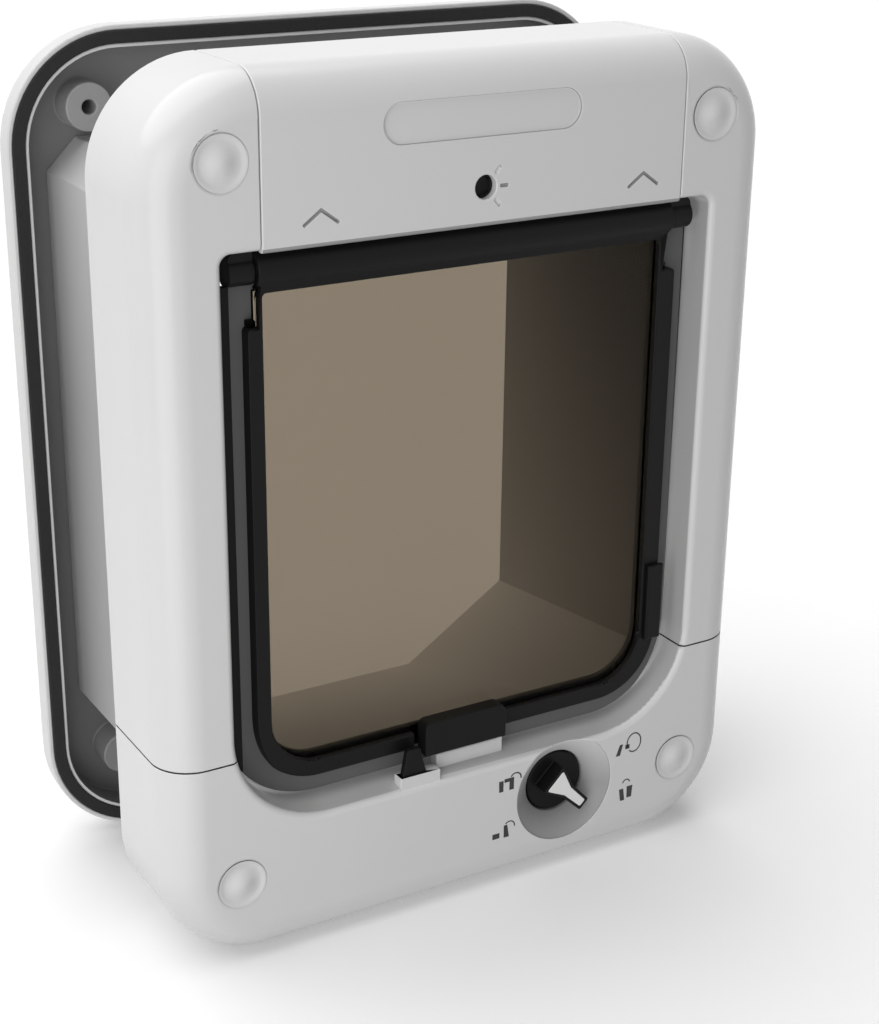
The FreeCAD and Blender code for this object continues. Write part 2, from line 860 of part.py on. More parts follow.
def make_dial_cam():
    """A spiral cam: each degree of turn lifts the bolt by the same amount."""
    near = cam_front
    rate = cam_lift / cam_turn
    curve_points = []
    for step in range(19):
        turned = cam_turn * step / 18
        radius = cam_low + rate * turned
        angle = math.radians(90.0 - turned)
        curve_points.append(point(dial_x + radius * math.cos(angle), near, dial_z + radius * math.sin(angle)))
    spiral = Part.BSplineCurve()
    spiral.interpolate(curve_points)
    high = cam_low + cam_lift
    high_arc = arc_about_dial(high, 90.0 - cam_turn, 90.0 - cam_turn - cam_dwell, near)
    low_arc = arc_about_dial(cam_low, 90.0 + cam_dwell, 90.0, near)
    closing = Part.LineSegment(high_arc.EndPoint, low_arc.StartPoint)
    wire = Part.Wire([spiral.toShape(), high_arc.toShape(), closing.toShape(), low_arc.toShape()])
    disc = Part.Face(wire).extrude(Vector(0, cam_thickness, 0))
    hub = rod(dial_x, dial_z, cam_low - cam_hub_inset, (near, near + cam_thickness + cam_hub_beyond))
    return disc.fuse(hub).cut(rod(dial_x, dial_z, shaft_radius, (near - 1, near + cam_thickness + 3)))


def arc_about_dial(radius, start_angle, end_angle, depth):
    """An arc about the dial's axis, drawn clockwise from one angle to another."""
    places = []
    for angle in (start_angle, (start_angle + end_angle) / 2, end_angle):
        turn = math.radians(angle)
        places.append(point(dial_x + radius * math.cos(turn), depth, dial_z + radius * math.sin(turn)))
    return Part.Arc(places[0], places[1], places[2])


def pointer_outline(border):
    """The pointer's outline: a flared tail and a straight bar, pointing down to the right."""
    tip = handle_tip - border
    tail = handle_tail - border
    half = [(-tail, handle_tail_half - border), (handle_neck, handle_neck_half - border),
            (tip, handle_tip_half - border)]
    shape = half + [(along, -across) for along, across in reversed(half)]
    turn = math.radians(pointer_turn)
    corners = []
    for along, across in shape:
        x = dial_x + along * math.cos(turn) - across * math.sin(turn)
        z = dial_z + along * math.sin(turn) + across * math.cos(turn)
        corners.append((x, z, handle_round))
    return corners[::-1]


def make_dial_knob():
    """The black knob: a disc in the well, a raised pointer handle and the shaft."""
    disc = rod(dial_x, dial_z, knob_radius, (knob_front, knob_back))
    rim = edges_at_depth(disc, knob_front)
    disc = disc.makeFillet(knob_round, rim)
    handle = prism(pointer_outline(0.0), (handle_front, handle_back))
    root = prism(pointer_outline(0.0), (handle_back, knob_back - knob_web))
    root = root.common(rod(dial_x, dial_z, knob_radius - knob_root_inset, (handle_back, knob_back)))
    shaft_end = cam_front + cam_thickness + shaft_beyond_cam
    shaft = rod(dial_x, dial_z, shaft_radius, (knob_back - knob_web, shaft_end))
    body = joined([disc, handle, root, shaft])
    return body.cut(prism(pointer_outline(handle_border), (handle_front - 1, handle_front + inlay_depth)))


def make_pointer_inlay():
    """The white mark let into the handle."""
    return prism(pointer_outline(handle_border), (handle_front, handle_front + inlay_depth))


def make_detent_spring():
    """A bent leaf on the back of the dish, which presses on the cam's hub."""
    back = well_depth + recess_wall
    far = dial_x - leaf_reach
    leaf_back = cam_front - leaf_to_cam
    heights = (dial_z - leaf_below_dial - leaf_height, dial_z - leaf_below_dial)
    foot = box((far, dial_x - well_radius - recess_wall - 1), (back - leaf_foot, leaf_back), heights)
    leaf = box((far, dial_x - shaft_radius - 2), (leaf_back - leaf_thickness, leaf_back), heights)
    web = box((far, far + 3 * leaf_thickness), (back - leaf_foot, leaf_back), heights)
    return joined([foot, web, leaf]).cut(dish_solid(recess_wall))


def make_flap_frame():
    """The black surround of the pane: side strips, bottom strip and the hinge knuckle."""
    wide = prism(rectangle(flap_half, flap_bottom, flap_neck_height, flap_corner, flap_small_corner),
                 (flap_front, flap_back))
    narrow = prism(rectangle(flap_neck_half, flap_bottom + neck_overlap, hinge_height, 1.0, 1.0),
                   (flap_front, flap_back))
    knuckle = cross_rod(hinge_depth, hinge_height, knuckle_radius, (-knuckle_half, knuckle_half))
    body = joined([wide, narrow, knuckle])
    window = prism(rectangle(window_half, window_bottom, window_top, window_corner, flap_small_corner),
                   (flap_front - 1, flap_back + 1))
    body = body.cut(window).cut(pane_body())
    front_edges = [edge for edge in edges_at_depth(body, flap_front) if edge.Length > 12]
    body = body.makeFillet(flap_edge_round, front_edges)
    for side in (-1, 1):
        low = min(side * knuckle_half, side * (knuckle_half - pin_length / 2))
        body = body.cut(cross_rod(hinge_depth, hinge_height, pin_radius, (low, low + pin_length / 2)))
    return body.cut(holder_block()).removeSplitter()


def pane_body():
    """The smoked pane in its rebate."""
    lap = pane_lap
    corners = rectangle(window_half + lap, window_bottom - lap, window_top + pane_top_lap,
                        window_corner + lap, flap_small_corner)
    return prism(corners, (pane_front, flap_back))


def make_flap_pane():
    knuckle = cross_rod(hinge_depth, hinge_height, knuckle_radius, (-knuckle_half, knuckle_half))
    narrow = box((-flap_neck_half, flap_neck_half), (0, recess_depth), (0, housing_height))
    wide = box((-housing_width, housing_width), (0, recess_depth), (0, flap_neck_height))
    return pane_body().common(narrow.fuse(wide)).cut(knuckle)


def make_flap_seal():
    """The grey draught strip behind the frame, round three sides of the flap."""
    outer = rectangle(seal_flap_half, seal_flap_bottom, seal_flap_top, seal_flap_corner, 1.0)
    inner = rectangle(window_half + seal_flap_inside_gap, window_bottom + seal_flap_inside_gap,
                      seal_flap_top + 10, window_corner, 1.0)
    depth_range = (flap_back, flap_back + seal_flap_thickness)
    return prism(outer, depth_range).cut(prism(inner, (flap_back - 1, flap_back + seal_flap_thickness + 1)))


def holder_block():
    """The block at the foot of the flap that holds its magnet."""
    body = box((holder_left, holder_right), (holder_front, pane_front), (holder_bottom, holder_top))
    upright = [edge for edge in body.Edges
               if edge.BoundBox.YLength > 1 and edge.BoundBox.ZMin > holder_top - 1]
    return body.makeFillet(holder_round, upright)


def magnet_box(centre_x, near, low):
    """A bar magnet's block."""
    half = magnet_length / 2
    return box((centre_x - half, centre_x + half), (near, near + magnet_thickness),
               (low, low + magnet_height))


def flap_magnet_box():
    return magnet_box((holder_left + holder_right) / 2, holder_front + magnet_skin,
                      holder_bottom + magnet_above_holder_foot)


def keeper_magnet_box():
    return magnet_box((keeper_left + keeper_right) / 2, keeper_front + keeper_magnet_skin,
                      keeper_top - magnet_height - keeper_magnet_below_top)


def make_magnet_holder():
    return holder_block().cut(flap_magnet_box())


def make_side_clip():
    """The clip over the right edge of the flap."""
    inner = flap_half - clip_width
    outer = flap_half + clip_wrap
    face = box((inner, outer), (flap_front - clip_proud, flap_front), (clip_bottom, clip_top))
    face = face.makeFillet(clip_round, edges_at_depth(face, flap_front - clip_proud))
    edge = box((flap_half, outer), (flap_front - clip_edge_front, flap_back), (clip_bottom + 1, clip_top - 1))
    return face.fuse(edge).removeSplitter()


def make_hinge_pin(side):
    """A steel pin from the knuckle into its bracket."""
    low = side * knuckle_half - pin_length / 2
    return cross_rod(hinge_depth, hinge_height, pin_radius, (low, low + pin_length))


def make_hinge_bracket(side):
    """The black ear beside the knuckle, with the bore of the pin."""
    near = knuckle_half + bracket_gap
    far = opening_half
    round_part = cross_rod(hinge_depth, hinge_height, bracket_radius, (near, far))
    top = box((near, far), (hinge_depth - bracket_stem_front, hinge_depth + bracket_stem_back),
              (hinge_height, opening_top))
    bore = cross_rod(hinge_depth, hinge_height, pin_radius + pin_clearance,
                     (near - 1, knuckle_half + pin_length / 2 + 0.3))
    body = round_part.fuse(top).cut(bore)
    limit = opening_hole().common(box((-housing_width, housing_width), (0, recess_depth),
                                      (0, housing_height)))
    body = body.common(limit)
    if side < 0:
        body = body.mirror(Vector(0, 0, 0), Vector(1, 0, 0))
    return body


def make_magnet_keeper(lower_cover):
    """The raised block on the sill that faces the flap's magnet."""
    body = box((keeper_left, keeper_right), (keeper_front, keeper_back),
               (opening_sill + keeper_above_sill, keeper_top))
    edges = [edge for edge in body.Edges if edge.BoundBox.ZMin > keeper_top - 1e-4
             and edge.BoundBox.XLength > 1 and edge.BoundBox.YMax < front + keeper_front + 1e-4]
    body = body.makeFillet(keeper_round, edges)
    return body.cut(lower_cover).cut(keeper_magnet_box())


def make_latch_bracket(lower_cover):
    """The white guide that the latch tongue stands in."""
    body = box((bracket_left, bracket_right), (latch_bracket_front, latch_bracket_back),
               (opening_sill - latch_bracket_foot, latch_bracket_top))
    edges = [edge for edge in body.Edges if edge.BoundBox.ZMin > latch_bracket_top - 1e-4]
    body = body.makeFillet(latch_bracket_round, edges)
    return body.cut(latch_slot(0.0)).cut(lower_cover)


def make_latch_tongue():
    """The wedge that stops the flap from swinging inwards, with the arm to its plunger."""
    half_base = latch_base_width / 2
    half_tip = latch_tip_width / 2
    wedge = [(latch_centre - half_base, latch_base_height - latch_foot_height, 0.0),
             (latch_centre + half_base, latch_base_height - latch_foot_height, 0.0),
             (latch_centre + half_base, latch_base_height, 0.0),
             (latch_centre - latch_tip_shift + half_tip, latch_tip_height, latch_tip_round),
             (latch_centre - latch_tip_shift - half_tip, latch_tip_height, latch_tip_round),
             (latch_centre - half_base, latch_base_height, 0.0)]
    depth_range = (latch_front, latch_front + latch_thickness)
    head = prism(wedge, depth_range)
    stem = box((latch_centre - half_base, latch_centre + half_base), depth_range,
               (latch_bottom, latch_base_height - latch_foot_height))
    arm = box((latch_centre - latch_arm, latch_centre + latch_arm), (latch_front, plunger_depth + latch_arm),
              (latch_bottom, latch_bottom + latch_arm))
    hole = post(latch_centre, plunger_depth, plunger_radius,
                (latch_bottom - 1, latch_bottom + plunger_in_tongue))
    return joined([head, stem, arm]).cut(hole)


def make_latch_plunger():
    """The steel plunger in the solenoid, headed above the arm."""
    top = latch_bottom + latch_arm
    rod_part = post(latch_centre, plunger_depth, plunger_radius, (plunger_bottom, top))
    head = post(latch_centre, plunger_depth, plunger_radius + plunger_head_wider,
                (top, top + plunger_head_height))
    return rod_part.fuse(head)


def make_latch_solenoid():
    """The coil body that draws the plunger down."""
    half = solenoid_width / 2
    near = plunger_depth - solenoid_depth / 2
    body = box((latch_centre - half, latch_centre + half), (near, near + solenoid_depth),
               (solenoid_bottom, solenoid_top))
    upright = [edge for edge in body.Edges if edge.BoundBox.ZLength > 1]
    body = body.makeFillet(solenoid_round, upright)
    bore = post(latch_centre, plunger_depth, plunger_radius + coil_bore_gap,
                (plunger_bottom - latch_travel - 2, solenoid_top + 1))
    return body.cut(bore)


def make_latch_spring():
    """The return spring round the plunger, as stacked turns joined by a thin tube."""
    low = solenoid_top
    high = latch_bottom
    pitch = (high - low - spring_wire) / (spring_turns - 1)
    middle = spring_radius - spring_wire / 2
    sleeve = post(latch_centre, plunger_depth, middle + spring_tube_half, (low, high))
    sleeve = sleeve.cut(post(latch_centre, plunger_depth, middle - spring_tube_half, (low - 1, high + 1)))
    rings = [sleeve]
    for turn in range(spring_turns):
        z = low + turn * pitch
        ring = post(latch_centre, plunger_depth, spring_radius, (z, z + spring_wire))
        ring = ring.cut(post(latch_centre, plunger_depth, spring_radius - spring_wire, (z - 1, z + 3)))
        rings.append(ring)
    return joined(rings)


def make_tunnel_sleeve():
    """The outer tunnel that lines the hole in the door."""
    depth_range = (sleeve_front, plate_front)
    body = prism(sleeve_outline(), depth_range)
    hollow = prism(grown(sleeve_outline(), -sleeve_wall), (sleeve_front - 1, plate_front + 1))
    return body.cut(hollow)


def frame_outline():
    return rectangle(frame_width / 2, 0.0, frame_height, frame_corner, frame_corner)


def seal_groove_ring(depth_range):
    """The ring that the outside seal fills."""
    outer = prism(grown(frame_outline(), -frame_lip), depth_range)
    inner = prism(grown(frame_outline(), -frame_lip - seal_width), depth_range)
    return outer.cut(inner)


def make_rear_frame():
    """The outside frame: rounded rim, plate, bosses, seal groove and the collar of the exit."""
    body = prism(frame_outline(), (frame_front, plate_back))
    body = body.makeFillet(frame_round, edges_at_depth(body, plate_back))
    inset = frame_lip + seal_width + inner_lip
    body = body.cut(prism(grown(frame_outline(), -inset), (frame_front - 1, plate_front)))
    collar_gap = liner_wall + tunnel_gap
    collar = liner_body(collar_gap + frame_collar, (plate_front, exit_depth - 1.0))
    collar = collar.cut(box((-housing_width, housing_width), (0, plate_front + 0.5), (-10, housing_height)))
    for name, x, z in fixing_places():
        boss = rod(x, z, boss_radius, (frame_front + boss_behind_lip, plate_back - 1))
        body = body.fuse(boss.cut(prism(grown(sleeve_outline(), 0.1), (0, plate_front))))
    body = body.fuse(collar)
    for name, x, z in fixing_places():
        body = body.cut(rod(x, z, fixing_hole_radius, (0, plate_back - 1.2)))
    body = body.cut(seal_groove_ring((frame_front - 1, frame_front + seal_groove)))
    return body.cut(liner_body(collar_gap, (plate_front - 5, exit_depth + 1))).removeSplitter()


def make_rear_seal():
    """The black foam seal in its groove, standing proud of the frame."""
    return seal_groove_ring((seal_plane, frame_front + seal_groove))


def make_antenna_coil():
    """The coil wound round the tunnel behind the flap."""
    depth_range = (coil_front, coil_front + coil_width)
    outer = liner_body(liner_wall + coil_gap + coil_thickness, depth_range)
    return outer.cut(liner_body(liner_wall + coil_gap, depth_range))


def board_post_places():
    return [(board_x + board_hole_inset, board_low + board_hole_inset),
            (board_x + board_width - board_hole_inset, board_low + board_hole_inset)]


def board_post(x, z):
    """A post on the front wall that carries the board, with a pin through it."""
    post_body = rod(x, z, board_post_radius, (housing_wall / 2, board_front))
    pin_end = board_front + board_thickness + board_pin_beyond
    pin = rod(x, z, board_hole_radius - board_pin_gap, (board_front - 1, pin_end))
    return post_body.fuse(pin)


def make_circuit_board():
    """The control board behind the lower cover."""
    body = box((board_x, board_x + board_width), (board_front, board_front + board_thickness),
               (board_low, board_low + board_height))
    for x, z in board_post_places():
        body = body.cut(rod(x, z, board_hole_radius, (board_front - 1, board_front + board_thickness + 1)))
    return body


def make_board_parts():
    """Chip, relay and two capacitors on the board."""
    middle_x = board_x + board_width / 2
    middle_z = board_low + board_height / 2
    chip = box((middle_x - chip_length, middle_x), (board_front - chip_height, board_front),
               (middle_z - chip_width / 2, middle_z + chip_width / 2))
    relay = box((middle_x + relay_size / 2, middle_x + 1.5 * relay_size),
                (board_front - relay_height, board_front), (middle_z, middle_z + relay_size))
    parts_row = middle_z - 2.5 * capacitor_radius
    capacitors = [rod(middle_x + side * 1.5 * capacitor_radius, parts_row, capacitor_radius,
                      (board_front - capacitor_height, board_front)) for side in (-1, 1)]
    return Part.makeCompound([chip, relay] + capacitors)


def make_all():
    """Every piece by name."""
    skin = opened_skin()
    lower_cover = make_lower_cover(skin)
    parts = {
        "main_housing": make_main_housing(skin),
        "lower_cover": lower_cover,
        "back_cover": make_back_cover(),
        "battery_cover": make_battery_cover(skin),
        "battery_tray": make_battery_tray(),
        "contact_plates": make_contact_plates(),
        "learn_button": make_learn_button(),
        "button_switch": make_button_switch(),
        "tunnel_liner": make_tunnel_liner(),
        "tunnel_sleeve": make_tunnel_sleeve(),
        "rear_frame": make_rear_frame(),
        "rear_seal": make_rear_seal(),
        "antenna_coil": make_antenna_coil(),
        "circuit_board": make_circuit_board(),
        "board_parts": make_board_parts(),
        "flap_frame": make_flap_frame(),
        "flap_pane": make_flap_pane(),
        "flap_seal": make_flap_seal(),
        "magnet_holder": make_magnet_holder(),
        "flap_magnet": flap_magnet_box(),
        "side_clip": make_side_clip(),
        "hinge_pin_left": make_hinge_pin(-1),
        "hinge_pin_right": make_hinge_pin(1),
        "hinge_bracket_left": make_hinge_bracket(-1),
        "hinge_bracket_right": make_hinge_bracket(1),
        "magnet_keeper": make_magnet_keeper(lower_cover),
        "keeper_magnet": keeper_magnet_box(),
        "latch_bracket": make_latch_bracket(lower_cover),
        "latch_tongue": make_latch_tongue(),
        "latch_plunger": make_latch_plunger(),
        "latch_solenoid": make_latch_solenoid(),
        "latch_spring": make_latch_spring(),
        "dial_knob": make_dial_knob(),
        "pointer_inlay": make_pointer_inlay(),
        "dial_cam": make_dial_cam(),
        "detent_spring": make_detent_spring(),
        "out_bolt": make_out_bolt(),
    }
    for name, x, z in fixing_places():
        parts["cap_" + name] = cap_body(x, z)
    for number, (x, z, way) in enumerate(cell_places(), start=1):
        parts["battery_" + str(number)] = make_cell(x, z, way)
    return parts


os.makedirs("parts", exist_ok=True)
for part_name, part_shape in make_all().items():
    part_shape.exportStep("parts/" + part_name + ".step")
    count = len(part_shape.Solids)
    print(part_name, "solids", count, "volume", round(part_shape.Volume), "valid", part_shape.isValid())
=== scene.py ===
import json
import math
import bmesh
import bpy
from mathutils import Matrix, Vector


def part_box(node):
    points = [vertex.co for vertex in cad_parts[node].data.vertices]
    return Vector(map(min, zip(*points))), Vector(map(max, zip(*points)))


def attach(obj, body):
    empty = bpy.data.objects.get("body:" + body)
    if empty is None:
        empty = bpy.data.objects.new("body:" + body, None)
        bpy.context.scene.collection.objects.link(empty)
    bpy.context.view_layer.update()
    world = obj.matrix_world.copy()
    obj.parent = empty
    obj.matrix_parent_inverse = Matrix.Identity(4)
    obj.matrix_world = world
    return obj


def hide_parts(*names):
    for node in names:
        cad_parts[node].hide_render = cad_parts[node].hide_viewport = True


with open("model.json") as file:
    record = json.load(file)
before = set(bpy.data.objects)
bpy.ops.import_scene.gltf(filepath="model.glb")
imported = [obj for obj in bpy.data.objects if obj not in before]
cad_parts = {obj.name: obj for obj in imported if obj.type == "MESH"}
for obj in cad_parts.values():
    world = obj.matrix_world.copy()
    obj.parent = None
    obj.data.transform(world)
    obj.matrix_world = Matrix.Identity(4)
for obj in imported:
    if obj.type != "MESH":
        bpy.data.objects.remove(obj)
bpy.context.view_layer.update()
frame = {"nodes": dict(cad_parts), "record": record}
nodes = frame["nodes"]
record = frame["record"]

# The room side face of the housing lies at this y, and depths count from it.
frontFace = -0.053
bodyOf = {}
for bodyName, members in record["behaviour"]["bodies"].items():
    for member in members:
        bodyOf[member] = bodyName
slotOf = {entry["node"]: entry["material_slot"] for entry in record["subparts"]}


def at(x, depth, z):
    # A place in millimetres, as the CAD counts it, to one in metres.
    return Vector((x / 1000, frontFace + depth / 1000, z / 1000))


# Materials

texture = {"cloudScale": 18.0, "cloudDetail": 3.0, "cloudRange": (0.35, 0.65), "grainDetail": 4.0}


def newMaterial(name, colour, roughness, bump=None, mottle=0.03, extra=None):
    # A moulded surface: faint uneven colour and a fine surface texture.
    settings = {"scale": 900.0, "strength": 0.05, "distance": 0.0001}
    settings.update(bump or {})
    material = bpy.data.materials.new(name)
    material.use_nodes = True
    tree = material.node_tree
    shader = tree.nodes["Principled BSDF"]
    shader.inputs["Roughness"].default_value = roughness
    for socket, value in (extra or {}).items():
        shader.inputs[socket].default_value = value
    coordinate = tree.nodes.new("ShaderNodeTexCoord")
    mapping = tree.nodes.new("ShaderNodeMapping")
    tree.links.new(coordinate.outputs["Object"], mapping.inputs["Vector"])
    cloud = tree.nodes.new("ShaderNodeTexNoise")
    cloud.inputs["Scale"].default_value = texture["cloudScale"]
    cloud.inputs["Detail"].default_value = texture["cloudDetail"]
    tree.links.new(mapping.outputs["Vector"], cloud.inputs["Vector"])
    ramp = tree.nodes.new("ShaderNodeValToRGB")
    low = [channel * (1 - mottle) for channel in colour]
    high = [min(1.0, channel * (1 + mottle)) for channel in colour]
    for element, place, shade in zip(ramp.color_ramp.elements, texture["cloudRange"], (low, high)):
        element.position = place
        element.color = (*shade, 1.0)
    tree.links.new(cloud.outputs["Fac"], ramp.inputs["Fac"])
    tree.links.new(ramp.outputs["Color"], shader.inputs["Base Color"])
    grain = tree.nodes.new("ShaderNodeTexNoise")
    grain.inputs["Scale"].default_value = settings["scale"]
    grain.inputs["Detail"].default_value = texture["grainDetail"]
    tree.links.new(mapping.outputs["Vector"], grain.inputs["Vector"])
    bumpNode = tree.nodes.new("ShaderNodeBump")
    bumpNode.inputs["Strength"].default_value = settings["strength"]
    bumpNode.inputs["Distance"].default_value = settings["distance"]
    tree.links.new(grain.outputs["Fac"], bumpNode.inputs["Height"])
    tree.links.new(bumpNode.outputs["Normal"], shader.inputs["Normal"])
    return material


def shareAlong(tree, split, axis, places, shares):
    share = tree.nodes.new("ShaderNodeMapRange")
    for socket, value in zip(("From Min", "From Max", "To Min", "To Max"), (*places, *shares)):
        share.inputs[socket].default_value = value
    tree.links.new(split.outputs[axis], share.inputs["Value"])
    return share.outputs["Result"]


def fadeAlong(material, axis, near, far, nearShare, farShare, also=None):
    # The colour goes from nearShare of itself at near to farShare at far, along one axis.
    # also adds a share along a second axis.
    tree = material.node_tree
    shader = tree.nodes["Principled BSDF"]
    colour = shader.inputs["Base Color"].links[0].from_socket
    mapping = next(node for node in tree.nodes if node.type == "MAPPING")
    split = tree.nodes.new("ShaderNodeSeparateXYZ")
    tree.links.new(mapping.outputs["Vector"], split.inputs["Vector"])
    amount = shareAlong(tree, split, axis, (near, far), (nearShare, farShare))
    if also:
        plus = tree.nodes.new("ShaderNodeMath")
        plus.operation = "ADD"
        tree.links.new(amount, plus.inputs[0])
        tree.links.new(shareAlong(tree, split, also["axis"], also["places"], also["shares"]), plus.inputs[1])
        amount = plus.outputs["Value"]
    times = tree.nodes.new("ShaderNodeVectorMath")
    times.operation = "SCALE"
    tree.links.new(colour, times.inputs[0])
    tree.links.new(amount, times.inputs["Scale"])
    tree.links.new(times.outputs["Vector"], shader.inputs["Base Color"])


finishes = {
    "white_plastic": newMaterial("whitePlastic", (0.78, 0.78, 0.775), 0.24, mottle=0.006,
                                 bump={"scale": 260.0, "strength": 0.02}),
    "black_plastic": newMaterial("blackPlastic", (0.007, 0.007, 0.007), 0.42,
                                 bump={"scale": 1400.0, "strength": 0.12},
                                 extra={"Specular IOR Level": 0.12}),
    "grey_plastic": newMaterial("greyPlastic", (0.3, 0.3, 0.31), 0.45),
    "smoked_pane": newMaterial("smokedPane", (0.238, 0.197, 0.148), 0.0, mottle=0.004,
                               bump={"scale": 12.0, "strength": 0.0},
                               extra={"Transmission Weight": 1.0, "IOR": 1.12, "Specular IOR Level": 0.5}),
    "grey_seal": newMaterial("greySeal", (0.142, 0.142, 0.142), 0.75,
                             bump={"scale": 2200.0, "strength": 0.3}),
    "black_foam": newMaterial("blackFoam", (0.012, 0.012, 0.012), 0.85,
                              bump={"scale": 1500.0, "strength": 0.5, "distance": 0.0003}),
    "steel": newMaterial("steel", (0.55, 0.55, 0.54), 0.3, extra={"Metallic": 1.0},
                         bump={"scale": 700.0, "strength": 0.06}),
    "magnet": newMaterial("magnetPlating", (0.45, 0.45, 0.46), 0.22, extra={"Metallic": 1.0}),
    "copper_winding": newMaterial("enamelledCopper", (0.55, 0.2, 0.07), 0.3, extra={"Metallic": 0.9}),
    "coil_case": newMaterial("zincPlate", (0.5, 0.5, 0.48), 0.35, extra={"Metallic": 1.0}),
    "board_green": newMaterial("solderResist", (0.015, 0.12, 0.04), 0.3,
                               bump={"scale": 500.0, "strength": 0.1}),
    "component_black": newMaterial("componentBlack", (0.02, 0.02, 0.022), 0.5),
    "cell_case": newMaterial("cellJacket", (0.09, 0.1, 0.115), 0.3, extra={"Metallic": 0.4}),
}
inkMaterial = newMaterial("printedInk", (0.02, 0.02, 0.02), 0.5)
# Painted shade: the sleeve between the housing and the rear frame is drawn grey rather than white, lighter
# towards the top, for the shade that falls on it.
sleeveShadeMaterial = newMaterial("sleevePlastic", (0.50, 0.50, 0.50), 0.35, mottle=0.01)
fadeAlong(sleeveShadeMaterial, "Z", 0.145, 0.215, 0.98, 1.24)
# Painted shade for the inside of the white rear frame: a dark grey plate and grey bosses, graded by height.
plateShadeMaterial = newMaterial("rearPlatePlastic", (0.14, 0.14, 0.14), 0.5, mottle=0.03)
fadeAlong(plateShadeMaterial, "Z", 0.02, 0.24, 1.0, 1.5)
bossShadeMaterial = newMaterial("rearBossPlastic", (0.34, 0.34, 0.34), 0.45, mottle=0.02)
fadeAlong(bossShadeMaterial, "Z", 0.04, 0.22, 0.68, 1.0)
# Painted shade: the dial's dish is drawn mid grey, lighter towards its top.
dishShadeMaterial = newMaterial("dishPlastic", (0.40, 0.40, 0.40), 0.45, mottle=0.03,
                           bump={"scale": 900.0, "strength": 0.15})
fadeAlong(dishShadeMaterial, "Z", 0.024, 0.042, 0.85, 2.0)
# Painted shade: the recess round the flap is drawn a darker grey than the housing's face.
recessShadeMaterial = newMaterial("recessPlastic", (0.56, 0.56, 0.555), 0.3, mottle=0.01)
# Painted shade: the tunnel liner is drawn darker towards its top and towards the room side, nearly black at
# the top front, for the shade inside the tunnel.
linerShadeMaterial = newMaterial("linerPlastic", (0.72, 0.72, 0.71), 0.5, mottle=0.004, bump={"strength": 0.004})
fadeAlong(linerShadeMaterial, "Z", 0.045, 0.205, 0.61, 0.02,
          also={"axis": "Y", "places": (-0.034, 0.054), "shares": (0.0, 0.38)})
seamMaterial = newMaterial("seamShade", (0.05, 0.05, 0.05), 0.8)
markShadeMaterial = newMaterial("markShade", (0.36, 0.36, 0.36), 0.6)
pointerMaterial = newMaterial("pointerWhite", (0.95, 0.95, 0.94), 0.35, mottle=0.005)
for node, thing in nodes.items():
    thing.data.materials.clear()
    thing.data.materials.append(finishes[slotOf[node]])
print("stage materials")


# Pieces made from the CAD solids

joining = {"distance": 1e-6, "flatAngle": 0.3, "sharpAngle": 32.0}


def newPiece(name, bm, body, material, replaced=(), smooth=True,
             edgeAngle=joining["sharpAngle"]):
    mesh = bpy.data.meshes.new(name)
    bmesh.ops.recalc_face_normals(bm, faces=bm.faces)
    for face in bm.faces:
        face.smooth = smooth
    for edge in bm.edges:
        if len(edge.link_faces) == 2:
            edge.smooth = edge.calc_face_angle(0.0) < math.radians(edgeAngle)
    bm.to_mesh(mesh)
    bm.free()
    piece = bpy.data.objects.new(name, mesh)
    bpy.context.scene.collection.objects.link(piece)
    piece.data.materials.append(material)
    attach(piece, body)
    if replaced:
        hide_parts(*replaced)
    return piece


def softenEdges(piece, width, segments=2, angle=joining["sharpAngle"]):
    bevel = piece.modifiers.new("edges", "BEVEL")
    bevel.width = width
    bevel.segments = segments
    bevel.limit_method = "ANGLE"
    bevel.angle_limit = math.radians(angle)
    bevel.use_clamp_overlap = False
    bevel.loop_slide = False
    bevel.harden_normals = False
    weighted = piece.modifiers.new("normals", "WEIGHTED_NORMAL")
    weighted.keep_sharp = True


def camel(text):
    words = text.split("_")
    return words[0] + "".join(word.capitalize() for word in words[1:])


def remap(value, steps):
    # steps holds (old, new) pairs. Between them a place goes over in proportion,
    # and beyond them by the nearest pair's shift.
    if value <= steps[0][0]:
        return value + steps[0][1] - steps[0][0]
    for (oldLow, newLow), (oldHigh, newHigh) in zip(steps, steps[1:]):
        if value <= oldHigh:
            return newLow + (value - oldLow) * (newHigh - newLow) / (oldHigh - oldLow)
    return value + steps[-1][1] - steps[-1][0]


